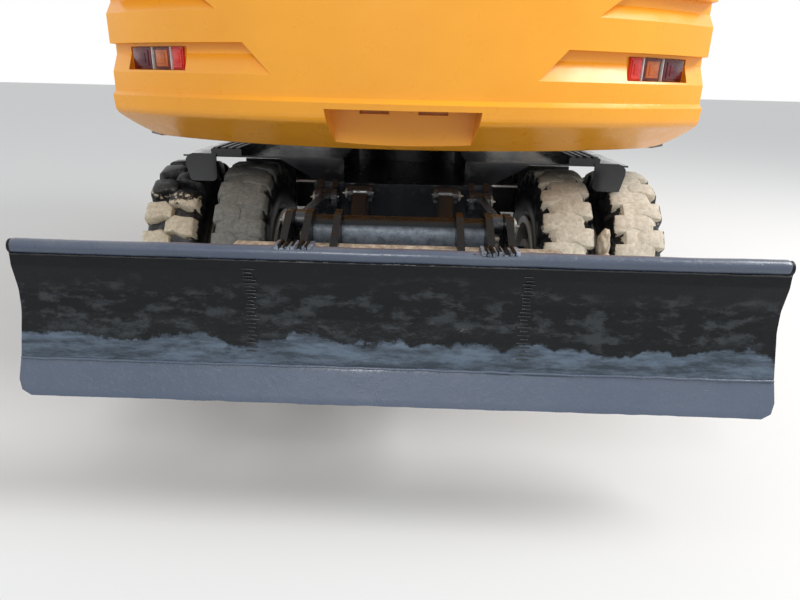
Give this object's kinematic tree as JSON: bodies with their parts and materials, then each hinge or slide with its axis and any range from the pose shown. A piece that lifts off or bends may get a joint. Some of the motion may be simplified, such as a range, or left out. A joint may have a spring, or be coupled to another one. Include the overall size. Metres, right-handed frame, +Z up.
{
  "type": "wheeled excavator",
  "caption": "Wheeled excavator with twin tyres, a rear dozer blade, a slewing upper with cab and counterweight, and a jointed boom, arm and bucket.",
  "frame": {"origin": "on the ground under the slewing axis", "axes": "+X to the machine's right, +Y to the front (the cab side's view at rest), +Z up"},
  "size_m": [2.574, 7.5639, 3.9571],
  "materials": {
    "body_paint": "glossy yellow-orange paint",
    "dark_paint": "glossy black paint",
    "tyre": "dusty tread rubber",
    "rim_paint": "dusty grey paint",
    "rod_chrome": "polished",
    "lamp_red": "ribbed lens",
    "lamp_amber": "ribbed lens",
    "engine_grey": "painted casting",
    "pane": "clear",
    "seat_fabric": "woven",
    "control_plastic": "moulded grain",
    "exhaust_steel": "heat-stained",
    "rail_paint": "black paint",
    "lamp_clear": "clear lens in a black case",
    "bucket_steel": "worn dark paint",
    "edge_steel": "worn black paint"
  },
  "bodies": {
    "chassis": {"chassis_frame": "dark_paint", "slew_ring": "dark_paint", "rear_axle": "dark_paint", "front_axle": "dark_paint", "drive_line": "dark_paint", "side_steps": "dark_paint", "mudguards": "dark_paint"},
    "steering_rod": {"steering_rod": "rod_chrome"},
    "knuckle_left": {"knuckle_left": "dark_paint"},
    "knuckle_right": {"knuckle_right": "dark_paint"},
    "front_left_wheels": {"tyres_front_left": "tyre", "rims_front_left": "rim_paint"},
    "front_right_wheels": {"tyres_front_right": "tyre", "rims_front_right": "rim_paint"},
    "rear_left_wheels": {"tyres_rear_left": "tyre", "rims_rear_left": "rim_paint"},
    "rear_right_wheels": {"tyres_rear_right": "tyre", "rims_rear_right": "rim_paint"},
    "blade_lower_links": {"blade_lower_links": "dark_paint"},
    "blade_upper_links": {"blade_upper_links": "dark_paint"},
    "blade": {"blade_mouldboard": "dark_paint", "blade_edge": "edge_steel"},
    "blade_cylinder_barrels": {"blade_cylinder_barrels": "dark_paint"},
    "blade_cylinder_rods": {"blade_cylinder_rods": "rod_chrome"},
    "upper": {"upper_frame": "dark_paint", "counterweight": "body_paint", "tail_lamps_red": "lamp_red", "tail_lamps_amber": "lamp_amber", "engine_block": "engine_grey", "house_frame": "body_paint", "tank_housing": "body_paint", "cab_shell": "body_paint", "cab_glass": "pane", "cab_seat": "seat_fabric", "cab_controls": "control_plastic", "exhaust_pipe": "exhaust_steel", "handrails": "rail_paint", "mirrors": "rail_paint", "work_lamps": "lamp_clear"},
    "engine_hood": {"engine_hood": "body_paint"},
    "side_door_left": {"side_door_left": "body_paint"},
    "side_door_right": {"side_door_right": "body_paint"},
    "cab_door": {"cab_door": "body_paint", "cab_door_glass": "pane"},
    "boom": {"boom": "body_paint"},
    "boom_cylinder_barrels": {"boom_cylinder_barrels": "body_paint"},
    "boom_cylinder_rods": {"boom_cylinder_rods": "rod_chrome"},
    "arm": {"arm": "body_paint"},
    "arm_cylinder_barrel": {"arm_cylinder_barrel": "body_paint"},
    "arm_cylinder_rod": {"arm_cylinder_rod": "rod_chrome"},
    "bucket_cylinder_barrel": {"bucket_cylinder_barrel": "body_paint"},
    "bucket_cylinder_rod": {"bucket_cylinder_rod": "rod_chrome"},
    "bucket_rocker": {"bucket_rocker": "body_paint"},
    "bucket_link": {"bucket_link": "body_paint"},
    "bucket": {"bucket": "bucket_steel"}
  },
  "joints": [
    {"name": "swing", "type": "hinge", "parent": "chassis", "child": "upper", "pos_m": [0, 0, 1.09], "axis": [0, 0, 1], "continuous": true},
    {"name": "steer_left", "type": "hinge", "parent": "chassis", "child": "knuckle_left", "pos_m": [-0.59, 1.52, 0.525], "axis": [0, 0, 1], "range_deg": [-25, 25]},
    {"name": "steer_right", "type": "hinge", "parent": "chassis", "child": "knuckle_right", "pos_m": [0.59, 1.52, 0.525], "axis": [0, 0, 1], "range_deg": [-26, 26]},
    {"name": "steering_rod_slide", "type": "slide", "parent": "chassis", "child": "steering_rod", "axis": [1, 0, 0], "range_m": [-0.09, 0.09]},
    {"name": "front_left_wheels_roll", "type": "hinge", "parent": "knuckle_left", "child": "front_left_wheels", "pos_m": [-0.9425, 1.52, 0.525], "axis": [1, 0, 0], "continuous": true},
    {"name": "rear_left_wheels_roll", "type": "hinge", "parent": "chassis", "child": "rear_left_wheels", "pos_m": [-0.9425, -1.18, 0.525], "axis": [1, 0, 0], "continuous": true},
    {"name": "front_right_wheels_roll", "type": "hinge", "parent": "knuckle_right", "child": "front_right_wheels", "pos_m": [0.9425, 1.52, 0.525], "axis": [1, 0, 0], "continuous": true},
    {"name": "rear_right_wheels_roll", "type": "hinge", "parent": "chassis", "child": "rear_right_wheels", "pos_m": [0.9425, -1.18, 0.525], "axis": [1, 0, 0], "continuous": true},
    {"name": "blade_lift", "type": "hinge", "parent": "chassis", "child": "blade_lower_links", "pos_m": [0, -1.642, 0.56], "axis": [-1, 0, 0], "range_deg": [-55, 3]},
    {"name": "blade_upper_links_turn", "type": "hinge", "parent": "chassis", "child": "blade_upper_links", "pos_m": [0, -1.642, 0.96], "axis": [-1, 0, 0], "range_deg": [-56, 4]},
    {"name": "blade_level", "type": "hinge", "parent": "blade_lower_links", "child": "blade", "pos_m": [0, -2.2713, 0.58968], "axis": [-1, 0, 0], "range_deg": [-4, 56]},
    {"name": "blade_barrels_turn", "type": "hinge", "parent": "chassis", "child": "blade_cylinder_barrels", "pos_m": [0, -1.662, 0.985], "axis": [-1, 0, 0], "range_deg": [-32.05, 2.22]},
    {"name": "blade_rods_slide", "type": "slide", "parent": "blade_cylinder_barrels", "child": "blade_cylinder_rods", "axis": [0, -0.8353, -0.5498], "range_m": [-0.0197, 0.2916]},
    {"name": "boom_lift", "type": "hinge", "parent": "upper", "child": "boom", "pos_m": [0, 0.25, 1.85], "axis": [1, 0, 0], "range_deg": [-56.5, 43.5]},
    {"name": "boom_barrels_turn", "type": "hinge", "parent": "upper", "child": "boom_cylinder_barrels", "pos_m": [0, 0.47, 1.4], "axis": [1, 0, 0], "range_deg": [-53.22, 41.09]},
    {"name": "boom_rods_slide", "type": "slide", "parent": "boom_cylinder_barrels", "child": "boom_cylinder_rods", "axis": [0, 0.6788, 0.7343], "range_m": [-0.4434, 0.3423]},
    {"name": "arm_swing", "type": "hinge", "parent": "boom", "child": "arm", "pos_m": [0, 4.61229, 3.3096], "axis": [-1, 0, 0], "range_deg": [-82, 35]},
    {"name": "arm_barrel_turn", "type": "hinge", "parent": "boom", "child": "arm_cylinder_barrel", "pos_m": [0, 2.09815, 3.41743], "axis": [-1, 0, 0], "range_deg": [-1.81, 1.06]},
    {"name": "arm_rod_slide", "type": "slide", "parent": "arm_cylinder_barrel", "child": "arm_cylinder_rod", "axis": [0, 0.985, 0.1726], "range_m": [-0.7475, 0.3213]},
    {"name": "bucket_curl", "type": "hinge", "parent": "arm", "child": "bucket", "pos_m": [0, 4.29219, 1.03198], "axis": [-1, 0, 0], "range_deg": [-82, 38]},
    {"name": "rocker_turn", "type": "hinge", "parent": "arm", "child": "bucket_rocker", "pos_m": [0, 4.37045, 1.44511], "axis": [-1, 0, 0], "range_deg": [-56.74, 26.56]},
    {"name": "bucket_barrel_turn", "type": "hinge", "parent": "arm", "child": "bucket_cylinder_barrel", "pos_m": [0, 4.88062, 2.84776], "axis": [-1, 0, 0], "range_deg": [-7.35, 3.67]},
    {"name": "bucket_rod_slide", "type": "slide", "parent": "bucket_cylinder_barrel", "child": "bucket_cylinder_rod", "axis": [0, -0.1252, -0.9921], "range_m": [-0.3926, 0.1841]},
    {"name": "link_turn", "type": "hinge", "parent": "bucket", "child": "bucket_link", "pos_m": [0, 4.40037, 0.67815], "axis": [-1, 0, 0], "range_deg": [-30.05, 64.27]},
    {"name": "cab_door_swing", "type": "hinge", "parent": "upper", "child": "cab_door", "pos_m": [-1.26, 0.112, 2.1], "axis": [0, 0, 1], "range_deg": [0, 115]},
    {"name": "side_door_left_swing", "type": "hinge", "parent": "upper", "child": "side_door_left", "pos_m": [-1.234, -1.453, 1.7], "axis": [0, 0, 1], "range_deg": [0, 90]},
    {"name": "side_door_right_swing", "type": "hinge", "parent": "upper", "child": "side_door_right", "pos_m": [1.234, -1.453, 1.7], "axis": [0, 0, -1], "range_deg": [0, 90]},
    {"name": "engine_hood_lift", "type": "hinge", "parent": "upper", "child": "engine_hood", "pos_m": [0, -0.5103, 2.3], "axis": [-1, 0, 0], "range_deg": [0, 55]}
  ],
  "couplings": [
    {"joint": "steer_right", "follows": "steer_left", "ratio": 1},
    {"joint": "steering_rod_slide", "follows": "steer_left", "m_per_rad": -0.1905},
    {"joint": "blade_upper_links_turn", "follows": "blade_lift", "ratio": 1},
    {"joint": "blade_level", "follows": "blade_lift", "ratio": -1},
    {"joint": "blade_barrels_turn", "follows": "blade_lift", "ratio": 0.5737},
    {"joint": "blade_rods_slide", "follows": "blade_lift", "m_per_rad": -0.2996},
    {"joint": "boom_barrels_turn", "follows": "boom_lift", "ratio": 0.933},
    {"joint": "boom_rods_slide", "follows": "boom_lift", "m_per_rad": 0.4456},
    {"joint": "arm_barrel_turn", "follows": "arm_swing", "ratio": 0.016},
    {"joint": "arm_rod_slide", "follows": "arm_swing", "m_per_rad": 0.5195},
    {"joint": "rocker_turn", "follows": "bucket_curl", "ratio": 0.6858},
    {"joint": "bucket_barrel_turn", "follows": "bucket_curl", "ratio": 0.0835},
    {"joint": "bucket_rod_slide", "follows": "bucket_curl", "m_per_rad": 0.2715},
    {"joint": "link_turn", "follows": "bucket_curl", "ratio": -0.7777}
  ]
}
